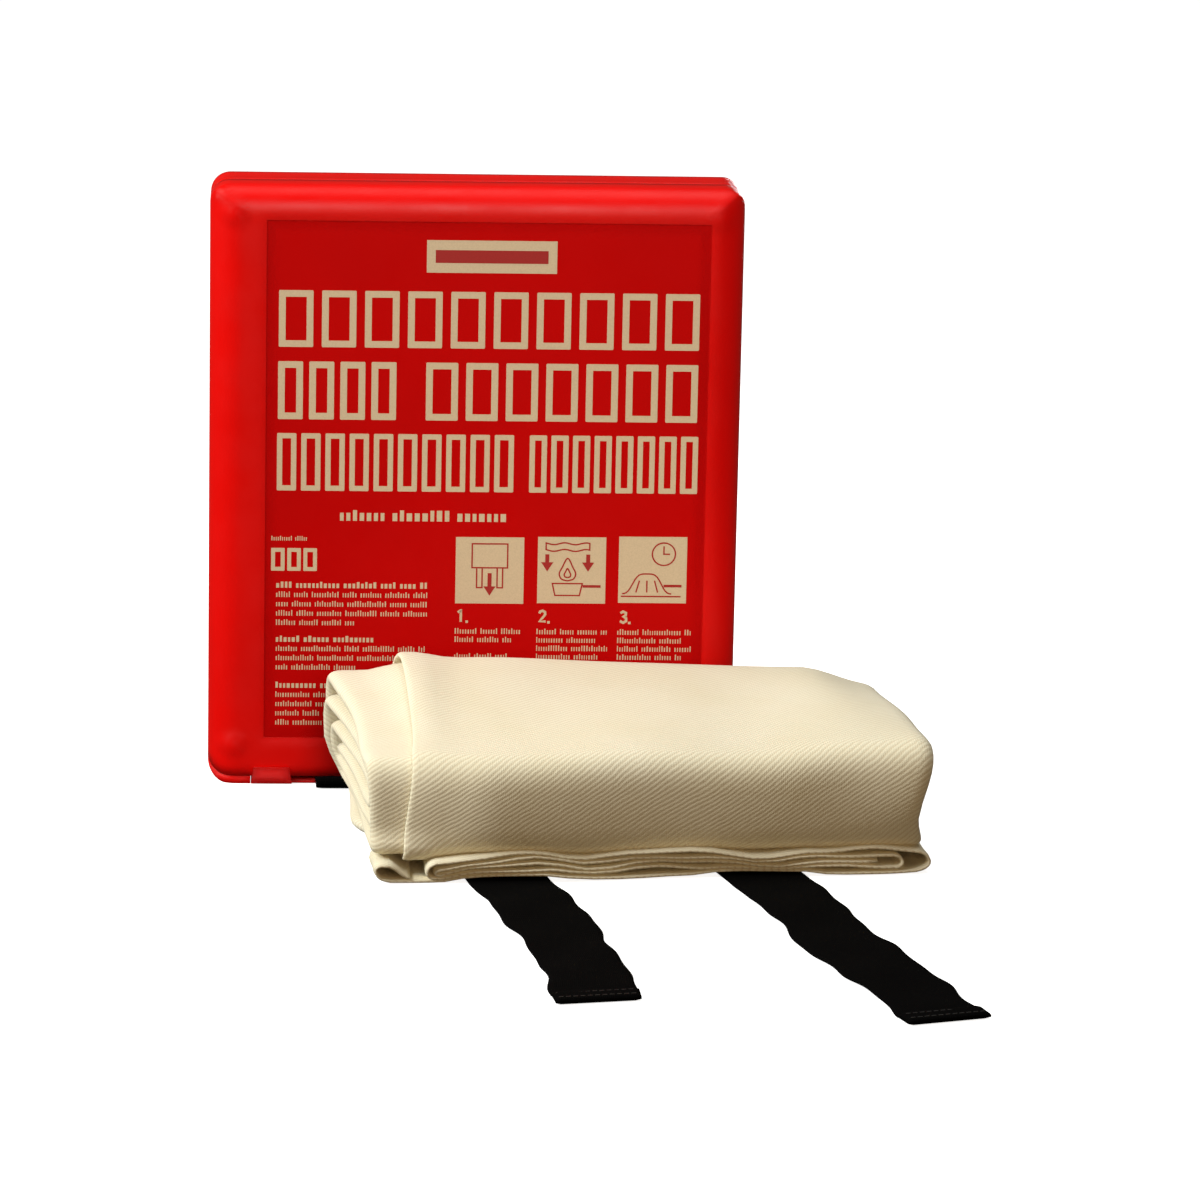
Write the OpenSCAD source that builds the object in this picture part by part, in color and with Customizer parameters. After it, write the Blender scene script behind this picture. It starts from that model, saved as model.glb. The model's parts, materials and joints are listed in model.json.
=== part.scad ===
// Fire blanket set: a wall case with a packed blanket inside, and an unpacked, folded blanket
// with its two pull tapes lying in front of it. Millimetres, +Z up, case front towards -Y.
// The origin is the bottom centre of the whole set.

/* [Case] */
// Width of the case
case_w = 270; // [250:1:300]
// Height of the case
case_h = 310; // [295:1:340]
// Depth of the case from the wall to its front
case_t = 46; // [44:1:60]
// Radius of the four corners of the outline
corner_r = 10; // [8:1:13]
// Radius of the rounded left and right edges of the front cover
edge_r = 16; // [12:1:18]
// Radius of the rounded top edge of the front cover
top_r = 12; // [8:1:14]
// Wall thickness of the mouldings
wall = 2.5; // [2:0.1:3]
// Depth of the back shell, up to the parting line
back_t = 22; // [18:1:26]

/* [Bottom flap] */
// Height of the lip that the flap and the fixed corners make below the cover
lip_h = 4.2; // [4:0.1:5]
// Width of each fixed bottom corner, on which the case stands
foot_w = 22; // [20:1:26]
// Thickness of the flap plate
flap_t = 1.1; // [1:0.1:1.4]
// Width of each snap tab
tab_w = 21; // [16:1:26]
// Height of the snap tabs over the front cover
tab_h = 8.9; // [7:0.1:10]

/* [Label] */
// Width of the sunk label panel
label_w = 224; // [200:1:226]
// Height of the sunk label panel
label_h = 269; // [240:1:272]
// Sideways offset of the label panel from the middle of the case
label_x = 5.5; // [-6:0.5:6]
// Height of the lower edge of the label panel
label_z = 24.5; // [20:0.5:28]

/* [Wall fixing] */
// Distance between the two keyholes
key_spacing = 160; // [120:5:200]
// Height of the keyhole entries
key_z = 258; // [220:1:270]
// Radius of the keyhole entry
key_r = 4.5; // [4:0.1:5]

/* [Packed blanket] */
// Width of the blanket packed in the case
pack_w = 214; // [190:1:214]
// Thickness of the blanket packed in the case
pack_t = 30.5; // [26:0.5:30.5]

/* [Unpacked blanket] */
// Width of the folded blanket
fold_w = 270; // [250:1:275]
// Depth of the folded blanket
fold_d = 150; // [140:1:152]
// Height of the folded blanket at its back
fold_h = 68; // [60:1:72]
// Height of the folded blanket at its front
front_h = 60; // [50:1:62]
// Turn of the folded blanket from the line of the case
fold_turn = 5.2; // [0:0.1:6]

/* [Tapes] */
// Width of the webbing
tape_w = 40; // [35:1:45]
// Thickness of the webbing
tape_t = 1.4; // [1:0.1:1.6]
// Free length of the left tape
left_tape_l = 190; // [150:1:220]
// Free length of the right tape
right_tape_l = 232; // [180:1:240]

/* [Hidden] */
$fn = 64;

gap = 0.3;                      // clearance between pieces that move apart
slack = 1;                      // overrun of a cut past the face that it opens
case_red = [0.78, 0.02, 0.02];
label_red = [0.66, 0.01, 0.01];
cloth_cream = [0.91, 0.88, 0.78];
webbing_black = [0.02, 0.02, 0.02];
thread_black = [0.05, 0.05, 0.05];
steel_grey = [0.6, 0.6, 0.62];

foot_x = case_w / 2 - foot_w;   // inner face of the fixed corners
hinge_y = -5.4;                 // axis of the flap, parallel to X
hinge_z = 3.2;
knuckle_r = 2.4;
stub_r = 1.6;
socket_r = 1.68;
stub_l = 2.2;
cheek_t = 2.5;                  // wall of the fixed corner that holds the stub
cheek_h = 12;
lip_base = 40;                  // the locating lip starts above the fixed corners
flap_z = 0.5;                   // underside of the flap, clear of the floor
tab_t = 1.5;
label_sink = 0.6;
label_t = 0.25;
boss_x = case_w / 2 - 13.5;
boss_zs = [20, case_h - 14];
boss_r = 4;
screw_r = 1.5;
screw_l = 14;
head_r = 3.4;
head_t = 1.6;
key_slot_r = 2.3;
key_rise = 9;                   // height of the slot above the entry
pack_z = 6;
pack_h = case_h - 18;
pack_front = -case_t + wall + 1;
loop_x = 60;                    // middle of each packed tape
loop_w = 39;
loop_t = 1.1;
loop_reach = 12;                // how far the loop stands out of the slot
loop_h = 6.5;

// the folded blanket stands on the corner of its front edge nearest the left tape
fold_corner = [-50, -226];
left_root = -70.7;              // middle of the left tape along the front of the blanket
right_root = 54.8;
left_splay = 5.1;               // angle of each tape from square to the front of the blanket
right_splay = 11.3;
hem_l = 12;                     // the folded and sewn end of a tape
hem_t = 3;
stitch = [2.2, 0.6, 0.3];
stitch_step = 3.4;
stitch_rows = [3, 9];           // distance of each row from the end of the tape

// extents of the set, for its origin
tip_turn = fold_turn + right_splay;
tip_run = right_tape_l + root_gap(right_splay);
front_y = -fold_d / 2;
tip_mid = fold_place([right_root, front_y]) + tip_run * [sin(tip_turn), -cos(tip_turn)];
x_min = -case_w / 2;
x_max = tip_mid.x + tape_w / 2 * cos(tip_turn);
y_min = tip_mid.y - tape_w / 2 * sin(tip_turn);
origin_shift = [-(x_min + x_max) / 2, -y_min / 2, 0];

// how far in front of the blanket a splayed tape starts, so that its square end clears the cloth
function root_gap(splay) = gap + tape_w / 2 * sin(splay);

// from the blanket's own middle to the frame of the case
function fold_place(p) = fold_corner + turned([fold_w / 2 + p.x, fold_d / 2 + p.y], fold_turn);
function turned(p, a) = [p.x * cos(a) - p.y * sin(a), p.x * sin(a) + p.y * cos(a)];

// a rounded rectangle standing on y = 0, with true arcs
module round_rect(w, h, r) {
  translate([-w / 2 + r, 0]) square([w - 2 * r, h]);
  translate([-w / 2, r]) square([w, h - 2 * r]);
  for (x = [-w / 2 + r, w / 2 - r], y = [r, h - r]) translate([x, y]) circle(r);
}

// raises an XZ outline from y = back to y = front
module upright(back, front) {
  translate([0, back, 0]) rotate([90, 0, 0]) linear_extrude(back - front) children();
}

module outline(inset = 0, base = 0) {
  translate([0, base + inset])
    round_rect(case_w - 2 * inset, case_h - base - 2 * inset, corner_r - inset);
}

// a tall block with the plan of the case and its rounded left and right edges
module side_form(inset = 0) {
  translate([0, -case_t + inset, -case_h]) linear_extrude(3 * case_h)
    round_rect(case_w - 2 * inset, 2 * case_t, edge_r - inset);
}

// the front shell, from the parting line forwards, with rounded side and top edges
module cover_form(back, inset, base) {
  intersection() {
    upright(back, -case_t) outline(inset, base);
    side_form(inset);
    translate([-case_w, 0, -case_h]) rotate([90, 0, 90]) linear_extrude(2 * case_w)
      round_rect(2 * (case_t - inset), 2 * case_h - inset, top_r - inset);
  }
}

module at_bosses() {
  for (x = [-boss_x, boss_x], z = boss_zs) translate([x, 0, z]) rotate([90, 0, 0]) children();
}

module keyhole() {
  translate([0, key_z]) circle(key_r);
  translate([-key_slot_r, key_z]) square([2 * key_slot_r, key_rise]);
  translate([0, key_z + key_rise]) circle(key_slot_r);
}

module lip_outline(inset) {
  intersection() {
    difference() {
      outline(inset);
      outline(2 * wall);
    }
    translate([-case_w / 2, lip_base]) square([case_w, case_h]);
  }
}

module back_shell() {
  color(case_red) difference() {
    union() {
      upright(0, -wall) outline();
      upright(-wall, -back_t) difference() {
        outline();
        translate([0, wall]) round_rect(case_w - 2 * wall, case_h - 2 * wall, corner_r - wall);
        translate([-foot_x, -slack]) square([2 * foot_x, wall + 2 * slack]);
      }
      // lip that locates the front cover
      upright(-back_t + 4, -back_t) lip_outline(wall - 0.5);
      upright(-back_t, -back_t - 5) lip_outline(wall + gap);
      // fixed corners under the cover
      intersection() {
        upright(-back_t, -case_t) intersection() {
          difference() {
            outline();
            translate([0, lip_h - gap]) round_rect(case_w, case_h, corner_r);
            translate([-foot_x, -slack]) square([2 * foot_x, corner_r * 2]);
          }
          translate([-case_w / 2, 0]) square([case_w, corner_r + lip_h]);
        }
        side_form();
      }
      for (s = [-1, 1]) translate([s * (foot_x + cheek_t / 2), 0, 0])
        upright(-wall, -back_t) translate([-cheek_t / 2, 0]) square([cheek_t, cheek_h]);
    }
    for (x = [-key_spacing / 2, key_spacing / 2])
      translate([x, 0, 0]) upright(slack, -wall - slack) keyhole();
    for (s = [-1, 1]) translate([s * foot_x, hinge_y, hinge_z])
      rotate([0, s * 90, 0]) translate([0, 0, -slack]) cylinder(r = socket_r, h = cheek_t + slack);
    at_bosses() translate([0, 0, -slack]) cylinder(r = screw_r + 0.2, h = wall + 2 * slack);
    at_bosses() translate([0, 0, -slack]) cylinder(r = head_r + 0.1, h = head_t + slack);
  }
}

module front_cover() {
  color(case_red) difference() {
    union() {
      difference() {
        cover_form(-back_t - gap, 0, lip_h);
        cover_form(-back_t, wall, lip_h - 2 * corner_r);
        translate([label_x - label_w / 2, -case_t - slack, label_z])
          cube([label_w, label_sink + slack, label_h]);
      }
      at_bosses() translate([0, 0, wall + gap])
        cylinder(r = boss_r, h = case_t - 2 * wall - gap + 1);
    }
    at_bosses() cylinder(r = screw_r, h = screw_l + wall);
  }
}

module cover_screws() {
  color(steel_grey) at_bosses() difference() {
    union() {
      cylinder(r = head_r, h = head_t);
      cylinder(r = screw_r, h = screw_l);
    }
    for (a = [0, 90]) rotate(a) translate([-2, -0.4, -slack]) cube([4, 0.8, slack + 0.9]);
  }
}

module front_label() {
  color(label_red)
    translate([label_x - label_w / 2 + gap, -case_t + label_sink - label_t, label_z + gap])
      cube([label_w - 2 * gap, label_t, label_h - 2 * gap]);
}

module bottom_flap() {
  w = foot_x - gap;
  color(case_red) {
    difference() {
      union() {
        translate([-w, -case_t, flap_z]) cube([2 * w, case_t + hinge_y, flap_t]);
        translate([-w, hinge_y, hinge_z]) rotate([0, 90, 0]) cylinder(r = knuckle_r, h = 2 * w);
        // ribs between the tapes
        for (x = [-100, -20, 20, 100]) translate([x - 0.8, -case_t + 8, flap_z])
          cube([1.6, case_t - 14, 3.6]);
      }
      translate([-w - slack, hinge_y - knuckle_r, -slack])
        cube([2 * w + 2 * slack, 2 * knuckle_r, flap_z + slack]);
    }
    for (s = [-1, 1]) {
      translate([s * (w - 0.1), hinge_y, hinge_z]) rotate([0, s * 90, 0])
        cylinder(r = stub_r, h = stub_l);
      // snap tab over the edge of the front cover
      translate([s * (w - tab_w / 2), -case_t - gap, 0]) rotate([90, 0, 0])
        linear_extrude(tab_t) polygon([
          [-tab_w / 2, flap_z], [tab_w / 2, flap_z], [tab_w / 2 - 1.5, tab_h], [-tab_w / 2 + 1.5, tab_h]
        ]);
      translate([s * (w - tab_w / 2) - tab_w / 2, -case_t - gap - tab_t, flap_z])
        cube([tab_w, tab_t + gap + 3, flap_t]);
    }
  }
}

module packed_blanket() {
  r = pack_t / 4;               // two soft bulges down each side
  x = pack_w / 2 - r;
  color(cloth_cream) translate([0, pack_front, pack_z]) linear_extrude(pack_h) {
    translate([-x, 0]) square([2 * x, pack_t]);
    for (s = [-1, 1], y = [r, 3 * r]) translate([s * x, y]) circle(r);
  }
}

// a strip of even thickness along a path
module band(path, t) {
  polygon(concat(
    [for (i = [0 : len(path) - 1]) path[i] + side(path, i) * t / 2],
    [for (i = [len(path) - 1 : -1 : 0]) path[i] - side(path, i) * t / 2]
  ));
}

function side(path, i) =
  let (run = path[min(i + 1, len(path) - 1)] - path[max(i - 1, 0)]) [-run.y, run.x] / norm(run);

// two layers in the slot under the cover that open into a drop-shaped loop outside it
module packed_tape(x) {
  mouth = -case_t - gap;
  slot_mid = flap_z + flap_t + 0.25 + loop_t;
  apart = (loop_t + 0.1) / 2;
  r = (loop_h - loop_t) / 2;
  inside = mouth + case_t - 12;
  path = concat(
    [[inside, slot_mid + apart], [mouth, slot_mid + apart]],
    [for (a = [75 : 15 : 285]) [mouth - loop_reach + loop_h / 2, loop_h / 2] + r * [cos(a), sin(a)]],
    [[mouth, slot_mid - apart], [inside, slot_mid - apart]]
  );
  color(webbing_black) translate([x - loop_w / 2, 0, 0]) rotate([90, 0, 90])
    linear_extrude(loop_w) band(path, loop_t);
}

module packed_tape_left() {
  packed_tape(-loop_x);
}

module packed_tape_right() {
  packed_tape(loop_x);
}

module on_fold() {
  corner = fold_place([0, 0]);
  translate([corner.x, corner.y, 0]) rotate(fold_turn) children();
}

// profile across the folded blanket: front to the left, back to the right
module fold_profile() {
  r_front = 24;
  r_back = 12;
  r_low = 4;
  hull() {
    translate([-fold_d / 2 + r_front, front_h - r_front]) circle(r_front);
    translate([fold_d / 2 - r_back, fold_h - r_back]) circle(r_back);
    translate([-fold_d / 2 + r_low, r_low]) circle(r_low);
    translate([fold_d / 2 - r_low, r_low]) circle(r_low);
  }
}

module folded_blanket() {
  end_r = 14;
  color(cloth_cream) on_fold() intersection() {
    translate([-fold_w / 2, 0, 0]) rotate([90, 0, 90]) linear_extrude(fold_w) fold_profile();
    translate([0, -fold_d / 2, 0]) linear_extrude(fold_h) round_rect(fold_w, fold_d, end_r);
  }
}

module at_root(x, splay) {
  on_fold() translate([x, front_y, 0]) rotate(splay) translate([0, -root_gap(splay), 0]) children();
}

module tape(len) {
  translate([-tape_w / 2, -len, 0]) cube([tape_w, len, tape_t]);
  translate([-tape_w / 2, -len, 0]) cube([tape_w, hem_l, hem_t]);
}

module tape_stitching(len) {
  n = floor((tape_w - 4) / stitch_step);
  for (row = stitch_rows, i = [0 : n])
    translate([(i - n / 2) * stitch_step - stitch.x / 2, -len + row - stitch.y / 2, hem_t])
      cube(stitch);
}

module tape_left() {
  color(webbing_black) at_root(left_root, left_splay) tape(left_tape_l);
}

module tape_right() {
  color(webbing_black) at_root(right_root, right_splay) tape(right_tape_l);
}

module tape_left_stitching() {
  color(thread_black) at_root(left_root, left_splay) tape_stitching(left_tape_l);
}

module tape_right_stitching() {
  color(thread_black) at_root(right_root, right_splay) tape_stitching(right_tape_l);
}

translate(origin_shift) back_shell();
translate(origin_shift) front_cover();
translate(origin_shift) cover_screws();
translate(origin_shift) front_label();
translate(origin_shift) bottom_flap();
translate(origin_shift) packed_blanket();
translate(origin_shift) packed_tape_left();
translate(origin_shift) packed_tape_right();
translate(origin_shift) folded_blanket();
translate(origin_shift) tape_left();
translate(origin_shift) tape_right();
translate(origin_shift) tape_left_stitching();
translate(origin_shift) tape_right_stitching();
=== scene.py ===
"""Looks of the fire blanket set: the red wall case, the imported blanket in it, and the unpacked blanket.

Lengths are in metres in the frame of the CAD model: +Z up, case front towards -Y.
"""

import json
import math

import bpy
import numpy as np
from mathutils import Matrix, Vector


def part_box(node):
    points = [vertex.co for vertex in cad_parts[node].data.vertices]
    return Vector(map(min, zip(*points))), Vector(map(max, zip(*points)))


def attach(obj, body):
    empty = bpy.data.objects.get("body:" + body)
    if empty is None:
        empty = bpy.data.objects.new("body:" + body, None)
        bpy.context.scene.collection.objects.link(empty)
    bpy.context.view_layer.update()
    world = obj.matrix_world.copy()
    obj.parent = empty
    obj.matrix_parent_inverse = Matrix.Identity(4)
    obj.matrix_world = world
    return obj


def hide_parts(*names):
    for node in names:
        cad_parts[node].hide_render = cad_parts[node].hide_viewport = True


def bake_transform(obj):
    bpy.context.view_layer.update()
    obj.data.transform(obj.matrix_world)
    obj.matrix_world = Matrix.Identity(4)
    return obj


MM = 0.001

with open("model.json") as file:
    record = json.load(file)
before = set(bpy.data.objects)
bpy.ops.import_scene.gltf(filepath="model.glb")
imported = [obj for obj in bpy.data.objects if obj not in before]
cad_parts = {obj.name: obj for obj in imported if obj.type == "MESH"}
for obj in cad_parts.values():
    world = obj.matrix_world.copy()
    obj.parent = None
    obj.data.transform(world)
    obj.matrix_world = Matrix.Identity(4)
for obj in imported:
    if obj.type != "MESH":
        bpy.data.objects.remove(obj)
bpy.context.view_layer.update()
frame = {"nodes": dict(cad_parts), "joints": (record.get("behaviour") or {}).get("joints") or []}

# ---------------------------------------------------------------- places, taken from the frame

CASE_LO, CASE_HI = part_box("back_shell")
FOLD_LO, FOLD_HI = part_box("folded_blanket")
PACK_LO, PACK_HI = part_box("packed_blanket")
CASE_MID_X = (CASE_LO.x + CASE_HI.x) / 2
CASE_FRONT_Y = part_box("front_cover")[0].y
LABEL_FRONT_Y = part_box("front_label")[0].y
FOLD_MID = Vector(((FOLD_LO.x + FOLD_HI.x) / 2, (FOLD_LO.y + FOLD_HI.y) / 2, 0))
JOINTS = {joint["name"]: joint for joint in frame["joints"]}
UP = Vector((0, 0, 1))

FOLD_TURN = math.radians(5.2)       # turn of the folded blanket from the line of the case

# ---------------------------------------------------------------- camera

# the place that the middle of the picture looks at
VIEW_TARGET = Vector((CASE_MID_X + 0.0648, CASE_FRONT_Y, 0.0985))
VIEW_DISTANCE = 3.0
VIEW_YAW = math.radians(3.125)
VIEW_PITCH = math.radians(14.0)
VIEW_ROLL = math.radians(1.2)
SENSOR = 36.0
LENS = 176.2


def add_camera():
    forward = Vector((
        math.sin(VIEW_YAW) * math.cos(VIEW_PITCH),
        math.cos(VIEW_YAW) * math.cos(VIEW_PITCH),
        -math.sin(VIEW_PITCH),
    ))
    level = Vector((math.cos(VIEW_YAW), -math.sin(VIEW_YAW), 0))
    rise = level.cross(forward)
    right = math.cos(VIEW_ROLL) * level + math.sin(VIEW_ROLL) * rise
    up = right.cross(forward)
    data = bpy.data.cameras.new("camera")
    data.lens = LENS
    data.sensor_width = SENSOR
    camera = bpy.data.objects.new("camera", data)
    rotation = Matrix((right, up, -forward)).transposed().to_4x4()
    camera.matrix_world = Matrix.Translation(VIEW_TARGET - forward * VIEW_DISTANCE) @ rotation
    bpy.context.collection.objects.link(camera)
    bpy.context.scene.camera = camera


# ---------------------------------------------------------------- node trees

class Shader:
    """A material's node tree, with short calls for the nodes used here."""

    def __init__(self, name, roughness, **fixed):
        self.material = bpy.data.materials.new(name)
        self.material.use_nodes = True
        self.tree = self.material.node_tree
        self.surface = self.tree.nodes["Principled BSDF"]
        self.surface.inputs["Roughness"].default_value = roughness
        for socket, value in fixed.items():
            self.surface.inputs[socket.replace("_", " ")].default_value = value

    def node(self, kind, **settings):
        made = self.tree.nodes.new(kind)
        for key, value in settings.items():
            setattr(made, key, value)
        return made

    def join(self, value, socket):
        if isinstance(value, bpy.types.NodeSocket):
            self.tree.links.new(value, socket)
        else:
            socket.default_value = value

    def math(self, operation, *values, clamp=False):
        made = self.node("ShaderNodeMath", operation=operation, use_clamp=clamp)
        for value, socket in zip(values, made.inputs):
            self.join(value, socket)
        return made.outputs[0]

    def place(self):
        return self.node("ShaderNodeTexCoord").outputs["Object"]

    def attribute(self, name):
        return self.node("ShaderNodeAttribute", attribute_name=name).outputs["Vector"]

    def parts(self, vector):
        made = self.node("ShaderNodeSeparateXYZ")
        self.join(vector, made.inputs[0])
        return made.outputs

    def noise(self, vector, scale, detail=3.0, roughness=0.55):
        made = self.node("ShaderNodeTexNoise")
        self.join(vector, made.inputs["Vector"])
        made.inputs["Scale"].default_value = scale
        made.inputs["Detail"].default_value = detail
        made.inputs["Roughness"].default_value = roughness
        return made.outputs["Fac"]

    def range(self, value, low, high, to_low=0.0, to_high=1.0):
        made = self.node("ShaderNodeMapRange")
        for socket, entry in zip(made.inputs, (value, low, high, to_low, to_high)):
            self.join(entry, socket)
        return made.outputs[0]

    def mix(self, factor, first, second):
        made = self.node("ShaderNodeMix", data_type="RGBA")
        self.join(factor, made.inputs["Factor"])
        self.join(first, made.inputs[6])
        self.join(second, made.inputs[7])
        return made.outputs[2]

    def bump(self, height, distance, strength=1.0, under=None):
        made = self.node("ShaderNodeBump")
        made.inputs["Strength"].default_value = strength
        made.inputs["Distance"].default_value = distance
        self.join(height, made.inputs["Height"])
        if under is not None:
            self.join(under, made.inputs["Normal"])
        return made.outputs[0]

    def finish(self, color, normal=None, roughness=None):
        self.join(color, self.surface.inputs["Base Color"])
        if normal is not None:
            self.join(normal, self.surface.inputs["Normal"])
        if roughness is not None:
            self.join(roughness, self.surface.inputs["Roughness"])
        return self.material


def rgb(red, green, blue):
    return (red, green, blue, 1.0)


def wave(shader, value, period):
    """A height from 0 to 1 that repeats every period metres."""
    turned = shader.math("MULTIPLY", value, 2 * math.pi / period)
    return shader.range(shader.math("SINE", turned), -1, 1)


# ---------------------------------------------------------------- materials

RED = (0.63, 0.002, 0.001)
RED_WORN = (0.70, 0.02, 0.01)
LABEL_RED = (0.47, 0.0, 0.0)
LABEL_WORN = (0.50, 0.005, 0.005)
BEIGE = (0.58, 0.45, 0.29)
DRAWING_RED = (0.33, 0.012, 0.010)
CREAM = (0.86, 0.81, 0.64)
CREAM_DEEP = (0.82, 0.76, 0.57)
# painted shade: the colour that the valleys between the ribs of the cloth darken towards
PAINTED_RIB_SHADE = (0.46, 0.31, 0.16)
SPECK = (0.36, 0.26, 0.14)
THREAD_BLACK = (0.005, 0.005, 0.006)

MOULD_RADIUS = 9 * MM               # rounding that the light sees on the edges of the plastic


def plastic(name, color, worn, roughness=0.36, gloss=0.13):
    shader = Shader(name, roughness, Specular_IOR_Level=gloss)
    place = shader.place()
    flow = shader.noise(place, 14, 2)
    grain = shader.noise(place, 2600, 2)
    dust = shader.range(shader.noise(place, 900, 4, 0.7), 0.66, 0.8)
    tone = shader.mix(shader.range(flow, 0.35, 0.7), rgb(*color), rgb(*[c * 0.93 for c in color]))
    tone = shader.mix(shader.math("MULTIPLY", dust, 0.25), tone, rgb(*worn))
    rough = shader.range(shader.noise(place, 60, 4), 0.3, 0.7, roughness - 0.05, roughness + 0.08)
    rounded = shader.node("ShaderNodeBevel", samples=8)
    rounded.inputs["Radius"].default_value = MOULD_RADIUS
    normal = shader.bump(flow, 0.0012, 0.2, rounded.outputs[0])
    normal = shader.bump(grain, 0.00006, 0.5, normal)
    return shader.finish(tone, normal, rough)


TWILL_PITCH = 2.05 * MM             # distance between the diagonal ribs of the cloth
TWILL_SLOPE = math.radians(33)
YARN_PITCH = 1.1 * MM
WEFT_PITCH = 1.3 * MM               # of the webbing
WARP_PITCH = 0.9 * MM


def twill_cloth(name):
    shader = Shader(name, 0.86, Sheen_Weight=0.18, Sheen_Roughness=0.5, Specular_IOR_Level=0.25)
    flat = shader.attribute("flat_pos")
    across, along, _ = shader.parts(flat)
    drift = shader.range(shader.noise(flat, 90, 2), 0, 1, -0.0009, 0.0009)
    skew = shader.math("MULTIPLY", across, math.sin(TWILL_SLOPE))
    skew = shader.math("ADD", skew, shader.math("MULTIPLY", along, math.cos(TWILL_SLOPE)))
    rib = wave(shader, shader.math("ADD", skew, drift), TWILL_PITCH)
    yarn = wave(shader, shader.math("ADD", across, drift), YARN_PITCH)
    fuzz = shader.noise(flat, 2400, 3, 0.7)
    cloudy = shader.noise(flat, 22, 4)
    height = shader.math("MULTIPLY_ADD", yarn, 0.35, rib)
    height = shader.math("MULTIPLY_ADD", fuzz, 0.7, height)
    cream = shader.mix(shader.range(cloudy, 0.3, 0.7), rgb(*CREAM), rgb(*CREAM_DEEP))
    # painted shade: the cloth turns darker and browner in the valleys between the ribs, where the rib
    # height is low
    cream = shader.mix(shader.range(rib, 0.5, 0.0, 0.0, 0.3), cream, rgb(*PAINTED_RIB_SHADE))
    specks = shader.range(shader.noise(flat, 1300, 4, 0.8), 0.6, 0.76, 0.0, 0.6)
    cream = shader.mix(specks, cream, rgb(*SPECK))
    return shader.finish(cream, shader.bump(height, 0.0002, 0.5))


def webbing(name):
    shader = Shader(name, 0.9, Specular_IOR_Level=0.03)
    flat = shader.attribute("flat_pos")
    across, along, _ = shader.parts(flat)
    weft = wave(shader, along, WEFT_PITCH)
    warp = wave(shader, across, WARP_PITCH)
    weave = shader.math("MULTIPLY", weft, warp)
    fluff = shader.noise(flat, 1500, 4, 0.75)
    lint = shader.range(fluff, 0.73, 0.79, 0.0, 0.5)
    black = shader.mix(weave, rgb(0.0008, 0.0008, 0.0009), rgb(0.0022, 0.0021, 0.0023))
    black = shader.mix(lint, black, rgb(0.035, 0.035, 0.038))
    height = shader.math("MULTIPLY_ADD", fluff, 0.4, weave)
    return shader.finish(black, shader.bump(height, 0.0003, 0.7))


def thread(name, color):
    shader = Shader(name, 0.6)
    place = shader.place()
    ply = shader.noise(place, 2600, 2)
    tone = shader.mix(ply, rgb(*color), rgb(*[c * 1.8 for c in color]))
    return shader.finish(tone, shader.bump(ply, 0.0001, 0.6))


def print_ink(name, color):
    shader = Shader(name, 0.5, Specular_IOR_Level=0.3)
    place = shader.place()
    screen = shader.noise(place, 1800, 3, 0.7)
    tone = shader.mix(shader.range(screen, 0.4, 0.75), rgb(*color), rgb(*[c * 0.84 for c in color]))
    return shader.finish(tone, shader.bump(screen, 0.00003, 0.4))


def steel(name):
    shader = Shader(name, 0.32, Metallic=1.0)
    place = shader.place()
    scratch = shader.noise(place, 1400, 4, 0.7)
    tone = shader.mix(scratch, rgb(0.62, 0.62, 0.64), rgb(0.42, 0.42, 0.45))
    rough = shader.range(scratch, 0.3, 0.8, 0.24, 0.5)
    return shader.finish(tone, shader.bump(scratch, 0.00004, 0.5), rough)


CASE_PLASTIC = plastic("case_red_plastic", RED, RED_WORN)
LABEL_SHEET = plastic("label_red_sheet", LABEL_RED, LABEL_WORN, 0.46, 0.05)
INK = print_ink("label_beige_ink", BEIGE)
DRAWING_INK = print_ink("label_red_ink", DRAWING_RED)
CLOTH = twill_cloth("glass_twill")
WEBBING = webbing("black_webbing")
THREAD = thread("black_thread", THREAD_BLACK)
STEEL = steel("zinc_screw")


def paint(node, material):
    piece = frame["nodes"][node]
    piece.data.materials.clear()
    piece.data.materials.append(material)


def paint_case():
    for node in ("back_shell", "front_cover", "bottom_flap"):
        paint(node, CASE_PLASTIC)
    paint("front_label", LABEL_SHEET)
    paint("cover_screws", STEEL)


# ---------------------------------------------------------------- meshes

def add_mesh(name, points, faces, material, smooth=True):
    mesh = bpy.data.meshes.new(name)
    mesh.from_pydata(np.asarray(points, float).tolist(), [], np.asarray(faces, int).tolist())
    mesh.polygons.foreach_set("use_smooth", [smooth] * len(mesh.polygons))
    mesh.materials.append(material)
    mesh.update()
    piece = bpy.data.objects.new(name, mesh)
    bpy.context.collection.objects.link(piece)
    return piece


def grid_faces(rows, cols, first=0, flip=False):
    index = first + np.arange(rows * cols).reshape(rows, cols)
    quads = np.stack([index[:-1, :-1], index[1:, :-1], index[1:, 1:], index[:-1, 1:]], -1)
    quads = quads.reshape(-1, 4)
    return quads[:, ::-1] if flip else quads


RIM_SHARE = 0.55                    # thickness of a sheet at its edges, as a share of the rest


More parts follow.
